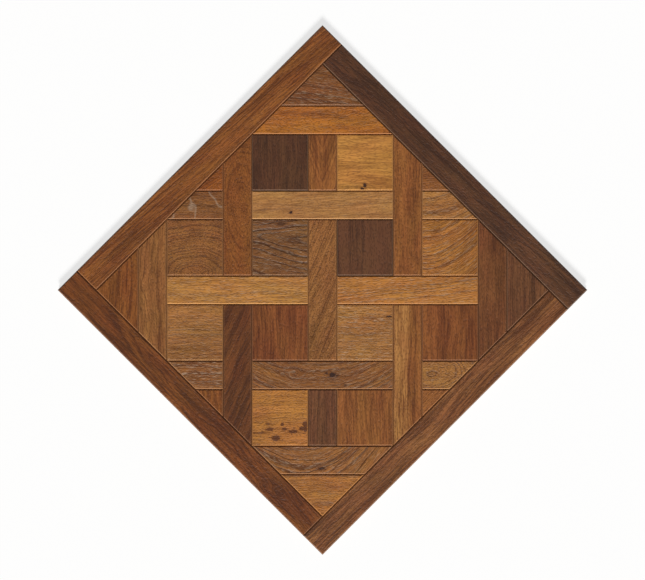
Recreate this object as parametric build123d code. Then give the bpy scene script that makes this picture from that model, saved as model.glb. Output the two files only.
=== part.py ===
from build123d import *
import os
from math import atan2, degrees, dist, sqrt

# Versailles parquet panel: four frame boards laid as a pinwheel around a woven diagonal lattice of
# strips, filled in with square blocks and triangles. Every piece is solid oak, bevelled along its top
# edges. Ends of strips and all edges of the fillers carry a tongue. Long sides carry the groove for it.
#
# X and Y run along the panel's sides and Z is up. The origin is at the middle of the underside.
# Compass words in the node names read the panel as a map, with +Y as north and +X as east.

# Driving dimensions, in millimetres
PANEL_SIDE = 800.0
PANEL_THICKNESS = 20.0
FRAME_WIDTH = 58.0
STRIP_WIDTH = 61.0
EDGE_BEVEL = 2.5
TONGUE_THICKNESS = 5.0
TONGUE_REACH = 5.0
TONGUE_PLAY = 0.1  # gap above and below a tongue in its groove
GROOVE_END_GAP = 0.5  # gap in front of a tongue in its groove

# Joinery, worked out from the driving dimensions
GROOVE_DEPTH = TONGUE_REACH + GROOVE_END_GAP
GROOVE_WIDTH = TONGUE_THICKNESS + 2 * TONGUE_PLAY
JOINT_LEVEL = PANEL_THICKNESS / 2  # height of the middle of every tongue and groove

# The lattice is drawn on axes u and v, which run from corner to corner of the panel. Its lines lie at
# these distances either side of the centre: one strip astride it, then a block, a strip, a block and a
# strip. The frame's inner edge is the line u + v = LATTICE_REACH, and meets the outer block's corner.
LATTICE_REACH = (PANEL_SIDE - 2 * FRAME_WIDTH) / sqrt(2)
BLOCK_SIDE = (LATTICE_REACH - 2 * STRIP_WIDTH) / 3
LINE_0 = STRIP_WIDTH / 2
LINE_1 = LINE_0 + BLOCK_SIDE
LINE_2 = LINE_1 + STRIP_WIDTH
LINE_3 = LINE_2 + BLOCK_SIDE
LINE_4 = LINE_3 + STRIP_WIDTH
LATTICE_TURN = Rot(0, 0, -45)  # takes the u and v axes to the panel's X and Y

U, V = 0, 1  # the lattice axes, as indices into a point


def at_frame(line):
    """How far out a lattice line runs before it meets the frame's inner edge."""
    return LATTICE_REACH - line


def rectangle(u_from, v_from, u_to, v_to):
    """The corners of an upright rectangle, anticlockwise."""
    return [(u_from, v_from), (u_to, v_from), (u_to, v_to), (u_from, v_to)]


def flipped(outline, u_sign, v_sign):
    """An outline mirrored across the lattice axes whose sign is -1, kept anticlockwise."""
    points = [(u * u_sign, v * v_sign) for u, v in outline]
    return points if u_sign * v_sign > 0 else points[::-1]


def turned(outline, quarter_turns):
    """An outline turned anticlockwise about the centre by quarter turns."""
    for _ in range(quarter_turns):
        outline = [(-v, u) for u, v in outline]
    return outline


def sides(outline):
    """The outline's sides in order, each as its start and end point."""
    return list(zip(outline, outline[1:] + outline[:1]))


def along_side(start, end):
    """Places a shape at a side's middle, at joint level: local X along the side and Y into the piece."""
    heading = degrees(atan2(end[1] - start[1], end[0] - start[0]))
    middle = ((start[0] + end[0]) / 2, (start[1] + end[1]) / 2, JOINT_LEVEL)
    return Pos(*middle) * Rot(0, 0, heading)


def corner_setback(before, corner, after):
    """How far from a corner a tongue stops, so that it clears a groove run along the other side."""
    run_in = (corner[0] - before[0], corner[1] - before[1])
    run_out = (after[0] - corner[0], after[1] - corner[1])
    cross = run_in[0] * run_out[1] - run_in[1] * run_out[0]
    sine = cross / (dist(before, corner) * dist(corner, after))
    return GROOVE_DEPTH / sine


def tongue(outline, index):
    """The tongue on one side of an outline, stopped short of both corners."""
    before, start, end, after = (outline[(index + step) % len(outline)] for step in (-1, 0, 1, 2))
    setback_start = corner_setback(before, start, end)
    setback_end = corner_setback(start, end, after)
    length = dist(start, end) - setback_start - setback_end
    shift = (setback_start - setback_end) / 2
    block = Box(length, TONGUE_REACH, TONGUE_THICKNESS, align=(Align.CENTER, Align.MAX, Align.CENTER))
    return along_side(start, end) * Pos(shift, 0, 0) * block


def groove(start, end):
    """The cut for a groove along one side, run past both ends so that it leaves a slanted end clean."""
    length = dist(start, end) + 2 * GROOVE_DEPTH
    block = Box(length, GROOVE_DEPTH, GROOVE_WIDTH, align=(Align.CENTER, Align.MIN, Align.CENTER))
    return along_side(start, end) * block


def parquet_piece(outline, grooved):
    """One bevelled piece of the panel. grooved says of each side whether it has a groove or a tongue."""
    body = extrude(make_face(Polyline(*outline, close=True)), PANEL_THICKNESS)
    top_edges = body.faces().sort_by(Axis.Z)[-1].edges()
    body = chamfer(top_edges, EDGE_BEVEL)
    for index, has_groove in enumerate(grooved):
        if not has_groove:
            body += tongue(outline, index)
    for (start, end), has_groove in zip(sides(outline), grooved):
        if has_groove:
            body -= groove(start, end)
    return body


def strip(outline, length_axis):
    """A lattice strip: the sides that run with its length are grooved, and its ends carry tongues."""
    across = V if length_axis == U else U
    lengthwise = [start[across] == end[across] for start, end in sides(outline)]
    return LATTICE_TURN * parquet_piece(outline, lengthwise)


def filler(outline):
    """A block or triangle, with a tongue on every edge."""
    return LATTICE_TURN * parquet_piece(outline, [False] * len(outline))


def frame_boards():
    """Four boards in a pinwheel: one end runs out to the panel's edge, the other butts on the next board."""
    outer = PANEL_SIDE / 2
    inner = outer - FRAME_WIDTH
    east = rectangle(inner, -outer, outer, inner)
    grooved = [True, True, False, True]  # through end, outer side, butt end, inner side
    names = ("east", "north", "west", "south")
    return {f"frame_board_{name}": parquet_piece(turned(east, k), grooved) for k, name in enumerate(names)}


def centre_weave():
    """The strip astride the centre, the two that cross its ends, and the two arms that butt on its sides."""
    upright = rectangle(-LINE_0, -LINE_1, LINE_0, LINE_1)
    crossing = rectangle(-LINE_1, LINE_1, LINE_1, LINE_2)
    arm = rectangle(LINE_0, -LINE_0, LINE_3, LINE_0)
    neck = rectangle(-LINE_0, LINE_2, LINE_0, LINE_3)
    return {
        "centre_strip": strip(upright, V),
        "cross_strip_northeast": strip(crossing, U),
        "cross_strip_southwest": strip(turned(crossing, 2), U),
        "arm_strip_southeast": strip(arm, U),
        "arm_strip_northwest": strip(turned(arm, 2), U),
        "neck_strip_northeast": strip(neck, V),
        "neck_strip_southwest": strip(turned(neck, 2), V),
    }


def corner_pieces():
    """In each corner of the frame, a triangle and the strip that runs across its base."""
    base, tip = at_frame(LINE_4), LATTICE_REACH
    across = [(-LINE_1, LINE_3), (LINE_1, LINE_3), (base, LINE_4), (-base, LINE_4)]
    triangle = [(-base, LINE_4), (base, LINE_4), (0, tip)]
    pieces = {}
    for k, name in enumerate(("northeast", "northwest", "southwest", "southeast")):
        length_axis = U if k % 2 == 0 else V
        pieces[f"corner_strip_{name}"] = strip(turned(across, k), length_axis)
        pieces[f"corner_triangle_{name}"] = filler(turned(triangle, k))
    return pieces


def side_pieces():
    """Against each frame board, a long strip, a stub that butts on it, and the triangle between them."""
    long_strip = [(LINE_1, LINE_0), (LINE_2, LINE_0), (LINE_2, at_frame(LINE_2)), (LINE_1, LINE_3)]
    stub = [(LINE_2, LINE_1), (LINE_3, LINE_1), (at_frame(LINE_2), LINE_2), (LINE_2, LINE_2)]
    triangle = [(LINE_2, LINE_2), (at_frame(LINE_2), LINE_2), (LINE_2, at_frame(LINE_2))]
    signs = {"east": (1, 1), "north": (-1, 1), "west": (-1, -1), "south": (1, -1)}
    pieces = {}
    for name, sign in signs.items():
        pieces[f"side_strip_{name}"] = strip(flipped(long_strip, *sign), V)
        pieces[f"side_stub_{name}"] = strip(flipped(stub, *sign), U)
        pieces[f"side_triangle_{name}"] = filler(flipped(triangle, *sign))
    return pieces


def square_blocks():
    """Four blocks around the centre strip, and two beside each corner strip."""
    inner = rectangle(LINE_0, LINE_0, LINE_1, LINE_1)
    by_neck = rectangle(LINE_0, LINE_2, LINE_1, LINE_3)
    by_arm = rectangle(LINE_2, LINE_0, LINE_3, LINE_1)
    quarters = {
        "east": ((1, 1), "northeast", "southeast"),
        "north": ((-1, 1), "northeast", "northwest"),
        "west": ((-1, -1), "southwest", "northwest"),
        "south": ((1, -1), "southwest", "southeast"),
    }
    pieces = {}
    for name, (sign, neck_corner, arm_corner) in quarters.items():
        pieces[f"inner_block_{name}"] = filler(flipped(inner, *sign))
        pieces[f"corner_block_{neck_corner}_{name}"] = filler(flipped(by_neck, *sign))
        pieces[f"corner_block_{arm_corner}_{name}"] = filler(flipped(by_arm, *sign))
    return pieces


panel = {**frame_boards(), **centre_weave(), **corner_pieces(), **side_pieces(), **square_blocks()}
os.makedirs("parts", exist_ok=True)
for node, solid in panel.items():
    export_step(solid, f"parts/{node}.step")
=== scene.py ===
from math import pi, radians, sin, sqrt

import bpy
from mathutils import Euler, Matrix, Vector


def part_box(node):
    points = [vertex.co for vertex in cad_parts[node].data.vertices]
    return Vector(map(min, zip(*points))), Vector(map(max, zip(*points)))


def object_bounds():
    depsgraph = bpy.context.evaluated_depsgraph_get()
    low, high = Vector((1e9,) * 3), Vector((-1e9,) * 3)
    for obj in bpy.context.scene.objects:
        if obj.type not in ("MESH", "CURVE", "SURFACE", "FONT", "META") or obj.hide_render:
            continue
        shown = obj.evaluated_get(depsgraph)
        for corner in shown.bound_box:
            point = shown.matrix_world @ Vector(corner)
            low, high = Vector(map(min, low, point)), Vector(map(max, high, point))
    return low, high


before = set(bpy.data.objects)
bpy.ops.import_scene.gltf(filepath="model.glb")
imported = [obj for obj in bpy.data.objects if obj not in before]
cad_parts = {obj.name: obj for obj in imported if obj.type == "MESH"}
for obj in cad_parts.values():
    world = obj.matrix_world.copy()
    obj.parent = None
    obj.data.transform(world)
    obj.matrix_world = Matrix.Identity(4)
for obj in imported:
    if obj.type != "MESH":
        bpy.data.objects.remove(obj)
cad_low, cad_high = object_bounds()

# Frame boards: four solid oak boards laid as a pinwheel round the lattice, tongued and grooved to it.
# Each is sawn along the grain and bevelled along its top edges. Its face is stained, brushed and oiled,
# and its edges and through end stay raw, with the growth rings as the saw left them.

MM = 0.001
TOP = cad_high.z
BEVEL = 2.5 * MM
TRUNK_STEP = 370  # millimetres along the trunk for each step of a piece's seed, so that no two look alike
BOW_AT = 100  # millimetres from the pith's point at which a bow is measured

# Pattern sizes in millimetres, along the grain and across it. Oak's pores and fibres are 0.1 to 0.3 mm
# wide, too fine to show from this far, so they are drawn about ten times as coarse.
BAND = (200, 26)  # slow changes of the stain
STREAK = (110, 4.8)
BLUSH = (90, 30)  # changes of hue
SPECK = (7, 14)
SWING = (200, 70)  # wandering of the grain
FRAY = (7, 4)  # uneven edges of knots
# the dashes of the painted glints, which stand in for highlights
GLINT_PAINT_DASH = (14, 2.2)
RAY_SHEET = (45, 60)
FIBRE_WIDTH, PORE_WIDTH = 2.2, 2.0
NOISE_LOW, NOISE_MIDDLE, NOISE_HIGH = 0.3, 0.5, 0.7  # where most values of a noise lie

RAW_OAK = "#b98f63"  # oak that has had neither stain nor oil
KNOT, KNOT_STAIN = "#2a140b", "#502a12"
GLINT_PAINT = "#c0a488"  # painted highlight: pale dashes that stand in for the lamp's glints on raised grain
RAY = "#a68d76"  # the silvery sheets of cells that run out from the pith
SAPWOOD = "#ae7a44"  # the paler outer wood of the trunk
WORN = "#484138"  # what wear adds to the colour along an edge


def linear(hex_colour):
    """An sRGB hex colour as the linear RGBA that a shader takes."""
    parts = [int(hex_colour[i : i + 2], 16) / 255 for i in (1, 3, 5)]
    return [c / 12.92 if c <= 0.04045 else ((c + 0.055) / 1.055) ** 2.4 for c in parts] + [1.0]


def add(tree, kind, *values, **settings):
    """Adds a node. values fill its sockets in order, and each setting is a property or a socket, with _ for
    a space. A node given as a value is linked by its first output."""
    made = tree.nodes.new("ShaderNode" + kind)
    sockets = dict(enumerate(values))
    for key, value in settings.items():
        if key in made.bl_rna.properties:
            setattr(made, key, value)
        else:
            sockets[key.replace("_", " ")] = value
    for key, value in sockets.items():
        if isinstance(value, bpy.types.Node):
            value = value.outputs[0]
        if isinstance(value, bpy.types.NodeSocket):
            tree.links.new(value, made.inputs[key])
        else:
            made.inputs[key].default_value = value
    return made


def trunk_space(tree, piece, grain, slant, dip, bow, pith, seed):
    """Coordinates in the trunk that a piece was sawn from, in millimetres, with X along the pith. pith is a
    point of it: how far ahead of the face's middle, aside of it and below it. slant and dip turn the trunk
    off the grain. bow bends it aside by that many millimetres at BOW_AT from the point, and by four times
    that at twice the distance."""
    low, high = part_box(piece)
    turn = Euler((0, radians(dip), radians(grain + slant))).to_matrix()
    heading = Matrix.Rotation(radians(grain), 3, "Z")
    face_middle = Vector(((low.x + high.x) / 2, (low.y + high.y) / 2, TOP))
    ahead, aside, depth = pith
    origin = face_middle + heading @ Vector((ahead, aside, -depth)) * MM
    point = add(tree, "TexCoord").outputs["Object"]
    place = add(tree, "Mapping", point, origin, turn.to_euler(), (MM, MM, MM), vector_type="TEXTURE")
    if bow:
        along = add(tree, "SeparateXYZ", place).outputs["X"]
        squared = add(tree, "Math", along, along, operation="MULTIPLY")
        shift = add(tree, "Math", squared, -bow / BOW_AT**2, operation="MULTIPLY")
        sideways = add(tree, "CombineXYZ", Y=shift)
        place = add(tree, "VectorMath", place, sideways, operation="ADD")
    return add(tree, "VectorMath", place, (seed * TRUNK_STEP, 0, 0), operation="ADD")


def stretched_noise(tree, place, size, detail=2.0):
    """Noise drawn out with the grain: size is how long and how wide its patches are, in millimetres."""
    along, across = size
    scaled = add(tree, "VectorMath", place, (1 / along, 1 / across, 1 / across), operation="MULTIPLY")
    return add(tree, "TexNoise", Vector=scaled, Scale=1.0, Detail=detail)


FRAY_LEAST, FRAY_MOST = 0.2, 1.8  # factors on the squared distance from a knot's middle
BEND_CORE = 0.4  # added to that distance, so that the bend has no sharp point at the middle
KNOT_EDGE = (0.8, 1.2)  # squared distances, in half sizes, between which a knot or spot fades out
HALO_EDGE = (1.0, 6.0)  # the same for the brown stain round a knot
HALO_SHARE = 0.45  # how strong that stain is, against the knot


def round_knots(tree, place, knots, spots, grain):
    """Grain that flows round knots and brown spots as water does round posts. Each has its u and v on the
    lattice, its half length and half width, all in millimetres, and how dark it is. Returns the bent grain,
    the share of black knot, and that of the brown stain in spots and round knots."""
    heart = stain = 0.0
    if knots or spots:
        uneven = stretched_noise(tree, place, FRAY)
        ragged = add(tree, "MapRange", uneven, NOISE_LOW, NOISE_HIGH, FRAY_LEAST, FRAY_MOST)
    for number, (u, v, length, width, shade) in enumerate((*knots, *spots)):
        at = Vector((u + v, v - u, 0)) / sqrt(2) * MM
        size = (length * MM, width * MM, 1.0)
        point = add(tree, "TexCoord").outputs["Object"]
        off = add(tree, "Mapping", point, at, (0, 0, radians(grain)), size, vector_type="TEXTURE")
        square = add(tree, "VectorMath", off, off, operation="DOT_PRODUCT").outputs["Value"]
        wider = add(tree, "Math", square, BEND_CORE, operation="ADD")
        push = add(tree, "Math", -width, wider, operation="DIVIDE")
        aside = add(tree, "VectorMath", off, (0, 1, 0), operation="MULTIPLY")
        bend = add(tree, "VectorMath", aside, Scale=push, operation="SCALE")
        place = add(tree, "VectorMath", place, bend, operation="ADD")
        frayed = add(tree, "Math", square, ragged, operation="MULTIPLY")
        inside = add(tree, "MapRange", frayed, *KNOT_EDGE, shade, 0.0)
        if number < len(knots):
            heart = add(tree, "Math", inside, heart, operation="MAXIMUM")
            inside = add(tree, "MapRange", frayed, *HALO_EDGE, HALO_SHARE * shade, 0.0)
        stain = add(tree, "Math", inside, stain, operation="MAXIMUM")
    return place, heart, stain


SWING_GAIN = 4  # noise strays from its middle by about a quarter, so this brings it to the full wander
SPELL = 3  # rings in a run of good or poor years
SPELL_SHIFT = 4.0  # by how many rings such runs crowd the others together or spread them
EARLY_END, NEXT_START = 0.45, 0.88  # shares of a ring: its early wood has faded, and the next one's sets in


def growth_rings(tree, place, ring, wander, taper):
    """Rings round the pith, about this wide. taper opens them along it, so that they cut the face in a V.
    Returns the wandering grain, the distance from the pith, and the early wood: dark from the start of each
    ring, fading through it, and stronger in some years."""
    bend = stretched_noise(tree, place, SWING, detail=3.0)
    swing = add(tree, "VectorMath", bend.outputs["Color"], [NOISE_MIDDLE] * 3, operation="SUBTRACT")
    reach = SWING_GAIN * wander
    push = add(tree, "VectorMath", swing, (0, reach, reach), operation="MULTIPLY")
    bent = add(tree, "VectorMath", place, push, operation="ADD")
    flat = add(tree, "VectorMath", bent, (0, 1, 1), operation="MULTIPLY")
    radius = add(tree, "VectorMath", flat, operation="LENGTH").outputs["Value"]
    if taper:
        ahead = add(tree, "SeparateXYZ", bent).outputs["X"]
        radius = add(tree, "Math", ahead, -taper, radius, operation="MULTIPLY_ADD")
    years = add(tree, "TexNoise", noise_dimensions="1D", W=radius, Scale=1 / (SPELL * ring), Detail=2.0)
    uneven = add(tree, "Math", years, SPELL_SHIFT, operation="MULTIPLY")
    age = add(tree, "Math", radius, 1 / ring, uneven, operation="MULTIPLY_ADD")
    season = add(tree, "Math", age, operation="FRACT")
    year = add(tree, "Math", age, operation="FLOOR")
    fading = add(tree, "MapRange", season, 0.0, EARLY_END, 1.0, 0.0, interpolation_type="SMOOTHSTEP")
    rising = add(tree, "MapRange", season, NEXT_START, 1.0, 0.0, 1.0, interpolation_type="SMOOTHSTEP")
    edge = add(tree, "Math", fading, rising, operation="MAXIMUM")
    weather = add(tree, "TexWhiteNoise", noise_dimensions="1D", W=year)
    early = add(tree, "Math", edge, weather, operation="MULTIPLY")
    return bent, radius, early


FIBRE_DASHES, PORE_DASHES = 2.6, 0.5  # lengths, as multiples of a piece's dash
DRIFT_GAIN, STREAK_GAIN, MOTTLE_GAIN, FIBRE_GAIN = 2.4, 2, 2, 0.38  # what each noise does to the lightness
LINE_BALANCE = 0.15  # lightness given back for what ring lines take
SAP_EDGE = 8  # millimetres either side of the line where heartwood turns to sapwood
HUE_SWING = (0.496, 0.504)
PORE_CROWDING, PORE_EDGE = 0.12, (0.50, 0.74)  # what early wood adds to the pores' noise, and where they show
PORE_SHADE, PORE_SHARE = 0.6, 0.4  # a pore's colour against the dark tone, and how much of it shows
GLINT_PAINT_CROWDING, GLINT_PAINT_EDGE = 0.14, (0.58, 0.70)  # the same for the painted glints, which stand in for highlights
RAY_HALF = 0.025  # half a ray's thickness, in values of the noise that bends its sheet

# Shares of the bevel's depth: its upper edge, where wear fades out, its foot of painted shade, and the sides
# below it
BEVEL_START, WEAR_END, SHADE_FOOT, SIDE_START = (0.04, 0.10), (0.80, 0.56), (0.70, 0.91), (1.0, 1.1)
WEAR_SHARE, SHADE_FOOT_SHARE, RAW_SHARE = 0.86, 0.96, 0.8  # how strongly wear, the painted shade at the foot, and raw sides show
WORN_TONE = 0.75  # share of the light tone that stays where the edge is worn
RAW_CONTRAST, RAW_DARKEST = 0.5, 0.6  # lightness of the raw sides

PORE_DEPTH, RING_DEPTH, FIBRE_HEIGHT = 0.36, 0.4, 0.14  # relief in millimetres, as coarse as the pattern
BEVEL_RELIEF = 0.1  # share of that relief that shows on the bevels
OILED, DULL_PORE = 0.42, 0.6  # roughness
OIL_GLOSS = 0.2  # specular level of a thin coat of oil


def below_top(shares):
    """Heights that lie these shares of the bevel's depth below the face."""
    return [TOP - share * BEVEL for share in shares]


def oak(piece, tone, grain, slant=0.0, dip=0.0, taper=0.0, bow=0.0, pith=(0, 80, 60), ring=5.0, wander=6.0,
        lines=0.4, drift=0.5, streaks=0.5, mottle=0.0, sap=0.0, lift=0.0, dash=9.0, brush=1.0, painted_glint=0.0,
        ray=0.0, knots=(), spots=(), seed=0):
    """Stained, brushed and oiled oak for one piece, cut from its own place in a trunk. To the eye it gives
    streaks of stain along the grain, dark early wood in each ring, short dark pores and a low sheen on raised
    grain, and on some pieces painted glints: pale dashes along the grain, painted in as the lamp's
    highlights.
    tone is its light and dark colour, and grain its direction in degrees. ring, wander, sap and dash are
    millimetres: the rings' width, how far they stray, where sapwood starts, and a pore's length. lines,
    drift, streaks and mottle say how strongly rings, slow stain, streaks and specks show, lift makes the
    whole lighter, brush deepens the relief, bloom is the share of those painted glints, and ray that of rays."""
    material = bpy.data.materials.new(f"oiled_oak_{piece}")
    material.use_nodes = True
    tree = material.node_tree
    tree.nodes.clear()
    light, dark = (linear(c) for c in tone)
    place = trunk_space(tree, piece, grain, slant, dip, bow, pith, seed)
    place, heart, stain = round_knots(tree, place, knots, spots, grain)
    bent, radius, early = growth_rings(tree, place, ring, wander, taper)
    fibre = stretched_noise(tree, bent, (FIBRE_DASHES * dash, FIBRE_WIDTH), detail=0.0)
    fibre = add(tree, "MapRange", fibre, NOISE_LOW, NOISE_HIGH, 0.0, 1.0, interpolation_type="SMOOTHSTEP")
    vessel = stretched_noise(tree, bent, (PORE_DASHES * dash, PORE_WIDTH), detail=0.0)

    # how light the wood is, from 0 to 1: each noise counts as far as it departs from its middle
    even = 0.5 + lift + LINE_BALANCE * lines
    share = add(tree, "Math", early, -lines, even, operation="MULTIPLY_ADD")
    layers = [
        (stretched_noise(tree, bent, BAND), DRIFT_GAIN * drift),
        (stretched_noise(tree, bent, STREAK), STREAK_GAIN * streaks),
        (fibre, FIBRE_GAIN),
        (stretched_noise(tree, place, SPECK, detail=1.0), MOTTLE_GAIN * mottle),
    ]
    for noise, strength in layers:
        if strength:
            departure = add(tree, "Math", noise, NOISE_MIDDLE, operation="SUBTRACT")
            share = add(tree, "Math", departure, strength, share, operation="MULTIPLY_ADD")
    share = add(tree, "Math", share, 0.0, operation="ADD", use_clamp=True)
    wood = add(tree, "MixRGB", share, dark, light)
    if sap:
        inner, outer = sap - SAP_EDGE, sap + SAP_EDGE
        beyond = add(tree, "MapRange", radius, inner, outer, 0.0, 1.0, interpolation_type="SMOOTHSTEP")
        sap_share = add(tree, "Math", beyond, share, operation="MULTIPLY", use_clamp=True)
        wood = add(tree, "MixRGB", sap_share, wood, linear(SAPWOOD))
    blush = stretched_noise(tree, place, BLUSH, detail=1.0)
    hue = add(tree, "MapRange", blush, NOISE_LOW, NOISE_HIGH, *HUE_SWING)
    wood = add(tree, "HueSaturation", hue, 1.0, 1.0, 1.0, wood)

    # pores, crowded in the early wood, then painted glints as highlights, rays, brown stain and knots
    crowd = add(tree, "Math", early, PORE_CROWDING, vessel, operation="MULTIPLY_ADD")
    pore = add(tree, "MapRange", crowd, *PORE_EDGE, 0.0, 1.0, interpolation_type="SMOOTHSTEP")
    dark_pore = [PORE_SHADE * c for c in dark[:3]] + [1.0]
    pore_share = add(tree, "Math", pore, PORE_SHARE, operation="MULTIPLY")
    face = add(tree, "MixRGB", pore_share, wood, dark_pore)
    # painted highlight: pale dashes along the grain, crowded in early wood, stand in for the lamp's glints on
    # raised grain
    if painted_glint:
        glint_noise = stretched_noise(tree, bent, GLINT_PAINT_DASH, detail=1.0)
        glint_noise = add(tree, "Math", early, GLINT_PAINT_CROWDING, glint_noise, operation="MULTIPLY_ADD")
        glint_paint_share = add(tree, "MapRange", glint_noise, *GLINT_PAINT_EDGE, 0.0, painted_glint)
        face = add(tree, "MixRGB", glint_paint_share, face, linear(GLINT_PAINT))
    if ray:
        sheet = stretched_noise(tree, place, RAY_SHEET, detail=1.0)
        off_sheet = add(tree, "Math", sheet, NOISE_MIDDLE, operation="SUBTRACT")
        off_sheet = add(tree, "Math", off_sheet, operation="ABSOLUTE")
        ray_share = add(tree, "MapRange", off_sheet, 0.0, RAY_HALF, ray, 0.0)
        face = add(tree, "MixRGB", ray_share, face, linear(RAY))
    face = add(tree, "MixRGB", stain, face, linear(KNOT_STAIN))
    face = add(tree, "MixRGB", heart, face, linear(KNOT))

    # below the face: the bevel, worn pale in its upper part and darkened at its foot as painted shade, then
    # the raw sides
    point = add(tree, "TexCoord").outputs["Object"]
    height = add(tree, "SeparateXYZ", point).outputs["Z"]
    on_bevel = add(tree, "MapRange", height, *below_top(BEVEL_START), 0.0, 1.0)
    near_edge = add(tree, "MapRange", height, *below_top(WEAR_END), 0.0, WEAR_SHARE)
    worn = add(tree, "Math", on_bevel, near_edge, operation="MULTIPLY")
    arris = [WORN_TONE * c + s for c, s in zip(light[:3], linear(WORN))] + [1.0]
    bevelled = add(tree, "MixRGB", worn, face, arris)
    # painted shade: the foot of each bevel, deep in the groove between pieces, is darkened in the colour
    shade_foot = add(tree, "MapRange", height, *below_top(SHADE_FOOT), 0.0, SHADE_FOOT_SHARE)
    bevelled = add(tree, "MixRGB", shade_foot, bevelled, dark_pore)
    raw_light = add(tree, "Math", share, RAW_CONTRAST, RAW_DARKEST, operation="MULTIPLY_ADD")
    raw = add(tree, "MixRGB", 1.0, raw_light, linear(RAW_OAK), blend_type="MULTIPLY")
    on_side = add(tree, "MapRange", height, *below_top(SIDE_START), 0.0, RAW_SHARE)
    colour = add(tree, "MixRGB", on_side, bevelled, raw)

    # relief, brushed out on the face, and oil that lies duller in the pores
    relief = add(tree, "Math", pore, -PORE_DEPTH * brush, operation="MULTIPLY")
    relief = add(tree, "Math", early, -RING_DEPTH * lines * brush, relief, operation="MULTIPLY_ADD")
    relief = add(tree, "Math", fibre, FIBRE_HEIGHT * brush, relief, operation="MULTIPLY_ADD")
    relief_share = add(tree, "MapRange", on_bevel, 0.0, 1.0, 1.0, BEVEL_RELIEF)
    bump = add(tree, "Bump", Strength=relief_share, Distance=MM, Height=relief)
    dullness = add(tree, "MapRange", pore, 0.0, 1.0, OILED, DULL_PORE)
    shader = add(tree, "BsdfPrincipled", colour, Roughness=dullness, Normal=bump,
                 Specular_IOR_Level=OIL_GLOSS)
    add(tree, "OutputMaterial", shader)
    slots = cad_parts[piece].data.materials
    slots.clear()
    slots.append(material)


# Tones of stain, each the light and the dark of it
FUMED = ("#5e3b24", "#371e0f")
CHESTNUT = ("#915728", "#582e11")
TOBACCO = ("#8d5a33", "#553017")
SORREL = ("#7b461f", "#4a250c")

oak("frame_board_east", FUMED, grain=90, slant=2, dip=1.5, pith=(0, 20, 60), ring=4, wander=4, lines=0.5,
    drift=0.8, streaks=0.8, lift=-0.06, dash=13, seed=474)
oak("frame_board_north", CHESTNUT, grain=0, slant=-4, pith=(0, 140, 30), ring=4, wander=4, lines=0.5,
    drift=0.6, streaks=1.0, lift=-0.08, dash=13, seed=475)
oak("frame_board_west", SORREL, grain=90, dip=2, pith=(0, -15, 50), ring=4, lines=0.6, drift=0.9, streaks=0.8,
    dash=13, knots=((-122, -417, 9, 7, 0.25), (-92, -432, 18, 9, 0.3)), seed=605)
oak("frame_board_south", TOBACCO, grain=0, pith=(0, 90, 60), ring=4, lines=0.7, drift=0.8, streaks=1.1,
    lift=-0.05, dash=13, seed=47)

# Centre of the lattice: a strip astride the middle, two that cross its ends, two arms that butt on its sides
# and two necks that carry its line on. All are oak sawn along the grain, with grooved sides and tongued ends.

ALONG_U, ALONG_V = -45, 45  # how the lattice's two directions lie in the panel, in degrees
HAZEL = ("#9c6738", "#5f381a")
WHEAT = ("#be874d", "#754c26")
NUT = ("#986232", "#5c3517")
AMBER = ("#b57637", "#6f4119")
HONEY = ("#c78a44", "#7b4d21")
RUSSET = ("#9b6131", "#5e3417")
SMOKED = ("#74492d", "#452714")

oak("centre_strip", HAZEL, ALONG_V, slant=-22, pith=(0, 90, 30), ring=4.5, wander=4, lines=0.5,
    drift=0.3, streaks=0.5, lift=0.1, dash=8, brush=1.6, seed=134)
oak("cross_strip_northeast", WHEAT, ALONG_U, slant=4, pith=(0, 110, 40), ring=5, wander=3, lines=0.3,
    drift=0.2, streaks=0.3, dash=9, brush=0.4, painted_glint=0.1, knots=((-67, 166, 3, 2.5, 1.0),), seed=823)
eyes = ((21, -181, 7, 5, 1.0), (9, -178, 3, 2, 0.8), (31, -183, 3, 2, 0.7), (47, -203, 3, 2, 0.6))
oak("cross_strip_southwest", NUT, ALONG_U, bow=20, pith=(-20, 60, 60), ring=10, wander=7, lines=0.8,
    lift=-0.08, knots=(*eyes, (-60, -178, 14, 10, 0.0)), painted_glint=0.2, seed=523)
oak("arm_strip_southeast", AMBER, ALONG_U, slant=7, pith=(0, 70, 60), ring=7, lines=0.5, drift=0.4, lift=0.2,
    dash=14, painted_glint=0.25, seed=94)
oak("arm_strip_northwest", HONEY, ALONG_U, pith=(0, 100, 50), ring=5, lines=0.3, drift=0.3, dash=14,
    painted_glint=0.2, seed=9)
oak("neck_strip_northeast", RUSSET, ALONG_V, taper=0.34, pith=(0, 0, 3), ring=15, wander=3, lines=0.9,
    lift=-0.06, dash=11, brush=0.5, seed=10)
oak("neck_strip_southwest", SMOKED, ALONG_V, pith=(0, 90, 40), ring=6, lines=0.5, drift=0.4, streaks=0.6,
    lift=0.09, dash=13, seed=742)

# Corners: in each corner of the frame a strip lies across, cut at 45 degrees at both ends, and a triangle
# fills the tip. The strips are grooved along their sides, and the triangles have a tongue on every edge.

CINNAMON = ("#ab6828", "#693912")
BARK = ("#85522a", "#4f2b13")
COCOA = ("#784828", "#482610")

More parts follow.
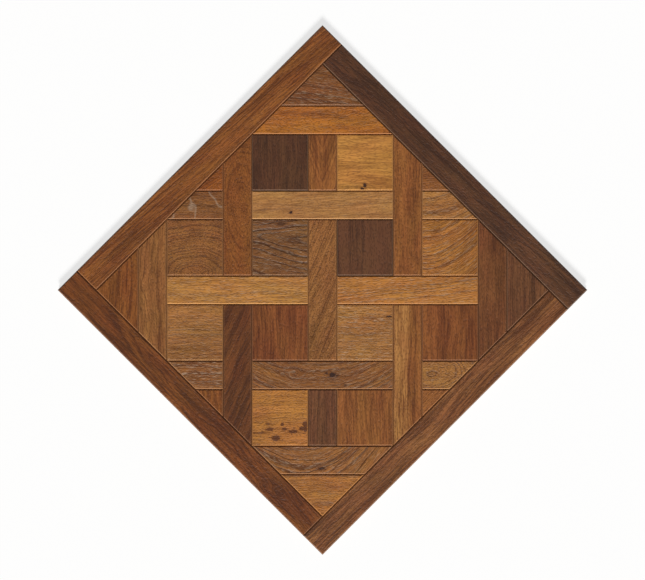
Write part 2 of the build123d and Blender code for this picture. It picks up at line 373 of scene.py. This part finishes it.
oak("corner_strip_northeast", CINNAMON, ALONG_U, pith=(0, 30, 70), ring=8, wander=9, lines=0.25, drift=0.9,
    streaks=0.4, mottle=0.25, knots=((36, 381, 8, 6, 0.0),), painted_glint=0.08, lift=0.12, seed=12)
oak("corner_strip_northwest", HAZEL, ALONG_V, pith=(0, 60, 60), ring=5, dash=11, seed=13)
oak("corner_strip_southwest", NUT, ALONG_U, bow=38, pith=(-45, 60, 60), ring=10, wander=13, lines=1.3,
    knots=((-1, -381, 6, 2.5, 0.9),), lift=0.08, painted_glint=0.22, seed=401)
oak("corner_strip_southeast", COCOA, ALONG_V, pith=(0, 80, 50), ring=7, lines=0.2, drift=0.9, lift=0.04,
    mottle=0.2, dash=13, seed=58)
oak("corner_triangle_northeast", BARK, ALONG_U, slant=-8, pith=(0, 60, 60), ring=9, wander=5, lines=0.6,
    painted_glint=0.25, seed=618)
oak("corner_triangle_northwest", CHESTNUT, ALONG_V, pith=(0, 70, 50), ring=5, dash=11, seed=17)
oak("corner_triangle_southwest", AMBER, ALONG_U, slant=3, pith=(0, 70, 60), ring=6, lines=0.3, drift=0.4,
    lift=0.06, painted_glint=0.12, seed=147)
oak("corner_triangle_southeast", SMOKED, ALONG_V, pith=(0, 110, 30), ring=7, wander=2, lines=1.1, drift=0.4,
    streaks=0.3, dash=13, seed=922)

# Sides: against each frame board a long strip ends at 45 degrees, a stub butts on its side, and a small
# triangle fills the place between them. Strips and stubs are oak with grooved sides, and the triangle has
# a tongue on every edge.

UMBER = ("#754422", "#46240e")
TAN = ("#aa733b", "#683f1c")
RUST = ("#925220", "#5a2d0e")

oak("side_strip_east", RUSSET, ALONG_V, pith=(0, 60, 60), ring=9, lines=0.2, streaks=0.3, mottle=0.25,
    dash=11, seed=149)
oak("side_strip_north", CHESTNUT, ALONG_V, dip=25, pith=(10, 0, 0), ring=6, wander=8, lines=0.35, streaks=0.3,
    dash=9, knots=((-200, 284, 2, 2, 1.0),), seed=107)
oak("side_strip_west", UMBER, ALONG_V, slant=-24, pith=(0, 60, 60), ring=9, lines=0.6, drift=0.9, lift=-0.1,
    dash=11, seed=882)
oak("side_strip_south", RUSSET, ALONG_V, pith=(0, -120, 40), ring=12, wander=4, lines=0.3, drift=0.4,
    streaks=0.8, lift=-0.04, sap=112, dash=13, seed=152)
oak("side_stub_east", TAN, ALONG_U, bow=34, pith=(-35, 50, 50), ring=12, wander=6, lines=0.8, lift=0.05,
    painted_glint=0.2, seed=712)
oak("side_stub_north", NUT, ALONG_U, pith=(0, 120, 20), ring=7, lines=0.3, lift=-0.1, ray=0.5, seed=68)
oak("side_stub_west", NUT, ALONG_U, pith=(0, 80, 60), ring=7, lines=0.5, lift=-0.06, painted_glint=0.35, seed=112)
oak("side_stub_south", TAN, ALONG_U, dip=30, pith=(-25, -8, 0), ring=8, wander=5, lines=0.8, painted_glint=0.15,
    seed=715)
oak("side_triangle_east", RUSSET, ALONG_U, slant=10, pith=(0, 60, 60), ring=6, lines=0.2, streaks=0.3,
    lift=-0.02, seed=286)
oak("side_triangle_north", RUST, ALONG_U, slant=30, pith=(0, 70, 50), ring=6, lines=0.3, lift=0.1, seed=545)
oak("side_triangle_west", CHESTNUT, ALONG_V, pith=(0, 60, 60), ring=6, lines=0.3, lift=-0.1, dash=11,
    seed=503)
oak("side_triangle_south", RUSSET, ALONG_U, slant=45, pith=(0, 80, 30), ring=5, lines=0.4, lift=0.15,
    dash=11, seed=504)

# Square blocks: four round the centre strip and two beside each corner strip, with the grain turned from
# one to the next. Each is oak with a tongue on all four edges, let into the grooves of the strips round it.

ROAN = ("#895029", "#532a12")
PEAT = ("#7e522b", "#4b2b14")

oak("inner_block_east", FUMED, ALONG_V, pith=(0, 100, 50), ring=7, lines=0.4, drift=1.0, lift=0.38,
    dash=13, seed=591)
oak("inner_block_north", PEAT, ALONG_U, slant=-4, taper=0.16, pith=(-70, 24, 10), ring=11, wander=10,
    lines=1.8, drift=0.5, lift=-0.06, knots=((-89, 141, 8, 4, 0.6),), painted_glint=0.2, seed=119)
oak("inner_block_west", ROAN, ALONG_V, pith=(0, 90, 50), ring=7, lines=0.2, drift=0.5, streaks=0.9, dash=13,
    seed=765)
oak("inner_block_south", TAN, ALONG_U, pith=(0, 90, 60), ring=7, lines=0.3, drift=0.3, lift=0.1,
    knots=((142, -57, 6, 1.6, 0.9),), painted_glint=0.3, seed=723)
oak("corner_block_northeast_north", FUMED, ALONG_V, pith=(0, 90, 60), ring=7, lines=0.2, drift=0.4,
    lift=-0.06, dash=13, seed=638)
pin_knots = ((90, 223, 3, 4.5, 0.95), (85, 217, 4, 2.2, 0.95), (62, 220, 30, 3, 0.25))
oak("corner_block_northeast_east", HONEY, ALONG_U, pith=(0, 60, 80), ring=9, wander=9, lines=0.25, drift=0.7,
    streaks=0.2, lift=0.1, dash=13, brush=0.4, knots=pin_knots, seed=725)
oak("corner_block_southeast_east", AMBER, ALONG_U, bow=42, pith=(-60, 60, 60), ring=8, lines=0.7, lift=-0.11,
    painted_glint=0.25, seed=339)
oak("corner_block_southeast_south", ROAN, ALONG_V, pith=(0, 100, 40), ring=7, lines=0.3, drift=1.1,
    streaks=0.9, dash=13, seed=641)
oak("corner_block_southwest_south", RUSSET, ALONG_V, pith=(0, 100, 50), ring=7, lines=0.2, drift=0.4, dash=13,
    seed=900)
blots = (
    (-115, -286, 6, 2.5, 0.8), (-113, -298, 8, 3.5, 0.9), (-86, -287, 4, 3.5, 0.9), (-82, -296, 5, 3, 0.9),
    (-63, -302, 11, 4, 0.95), (-99, -317, 10, 5, 0.95), (-41, -296, 11, 5, 0.95), (-36, -287, 6, 7, 0.9),
    (-134, -305, 16, 2, 0.8), (-145, -330, 12, 2, 0.7),
)
oak("corner_block_southwest_west", AMBER, ALONG_U, pith=(0, 70, 70), ring=8, lines=0.2, drift=0.5, lift=0.22,
    spots=blots, seed=944)
oak("corner_block_northwest_north", NUT, ALONG_U, dip=42, pith=(0, -60, 0), ring=7, lines=0.6, seed=773)
oak("corner_block_northwest_west", TAN, ALONG_U, pith=(0, 80, 60), ring=7, lines=0.3, painted_glint=0.15, seed=215)

# Floor, light and camera: a plain white floor, a soft lamp low in the south-west and an even sky.
# The floor is matt paint, an even white with no sheen that keeps the panel's shadow. The camera looks
# straight down, with the panel's north-east corner at the top of the picture.

WHITE, FLOOR_WHITE = "#ffffff", "#faf9f7"
FLOOR_REACH = 30.0  # metres from the middle to each side
FLOOR_GLOW = 0.75  # share of plain white in the floor as the camera and reflections see it
LAMP_HEADING, LAMP_HEIGHT = 225, 38  # degrees: where the lamp stands in plan, and how high
LAMP_SHARE = 0.95  # of the light that a level face gets, the rest comes from the sky
LAMP_WIDTH = 16  # degrees that the lamp covers, seen from the panel
SKY_SEEN = 0.95  # how bright the sky looks to the camera and in reflections, where 1 is white
PHOTO_WIDTH, PANEL_ACROSS = 645, 530  # pixels: the picture's width, and the panel's diagonal in it
LENS, SENSOR = 100.0, 36.0  # millimetres


def seen(tree):
    """1 for rays from the camera and for those that reflections and glass send on, and 0 for the rest."""
    rays = add(tree, "LightPath").outputs
    direct = add(tree, "Math", rays["Is Camera Ray"], rays["Is Glossy Ray"], operation="MAXIMUM")
    return add(tree, "Math", direct, rays["Is Transmission Ray"], operation="MAXIMUM")


corners = [(x * FLOOR_REACH, y * FLOOR_REACH, 0.0) for x, y in ((-1, -1), (1, -1), (1, 1), (-1, 1))]
floor_mesh = bpy.data.meshes.new("floor")
floor_mesh.from_pydata(corners, [], [(0, 1, 2, 3)])
floor = bpy.data.objects.new("floor", floor_mesh)
bpy.context.scene.collection.objects.link(floor)
floor_paint = bpy.data.materials.new("matt_white_floor")
floor_paint.use_nodes = True
paint_tree = floor_paint.node_tree
paint_tree.nodes.clear()
matt = add(paint_tree, "BsdfDiffuse", linear(FLOOR_WHITE))
glow = add(paint_tree, "Emission", linear(WHITE), 1.0)
glow_share = add(paint_tree, "Math", seen(paint_tree), FLOOR_GLOW, operation="MULTIPLY")
paint = add(paint_tree, "MixShader", glow_share, matt, glow)
add(paint_tree, "OutputMaterial", paint)
floor_mesh.materials.append(floor_paint)

lamp = bpy.data.lights.new("soft_lamp", "SUN")
lamp.energy = pi * LAMP_SHARE / sin(radians(LAMP_HEIGHT))
lamp.angle = radians(LAMP_WIDTH)
lamp_stand = bpy.data.objects.new("soft_lamp", lamp)
lamp_stand.rotation_euler = Euler((radians(90 - LAMP_HEIGHT), 0, radians(LAMP_HEADING + 90)))
bpy.context.scene.collection.objects.link(lamp_stand)

sky = bpy.data.worlds.new("even_sky")
sky.use_nodes = True
sky.node_tree.nodes.clear()
strength = add(sky.node_tree, "MapRange", seen(sky.node_tree), 0.0, 1.0, 1 - LAMP_SHARE, SKY_SEEN)
backdrop = add(sky.node_tree, "Background", linear(WHITE), strength)
add(sky.node_tree, "OutputWorld", backdrop)
bpy.context.scene.world = sky
bpy.context.scene.view_settings.view_transform = "Standard"

diagonal = sqrt(2) * (cad_high.x - cad_low.x)
picture_width = diagonal * PHOTO_WIDTH / PANEL_ACROSS
camera = bpy.data.cameras.new("camera")
camera.lens, camera.sensor_width = LENS, SENSOR
camera_stand = bpy.data.objects.new("camera", camera)
camera_stand.location = (0, 0, TOP + picture_width * LENS / SENSOR)
camera_stand.rotation_euler = (0, 0, radians(ALONG_U))
bpy.context.scene.collection.objects.link(camera_stand)
bpy.context.scene.camera = camera_stand
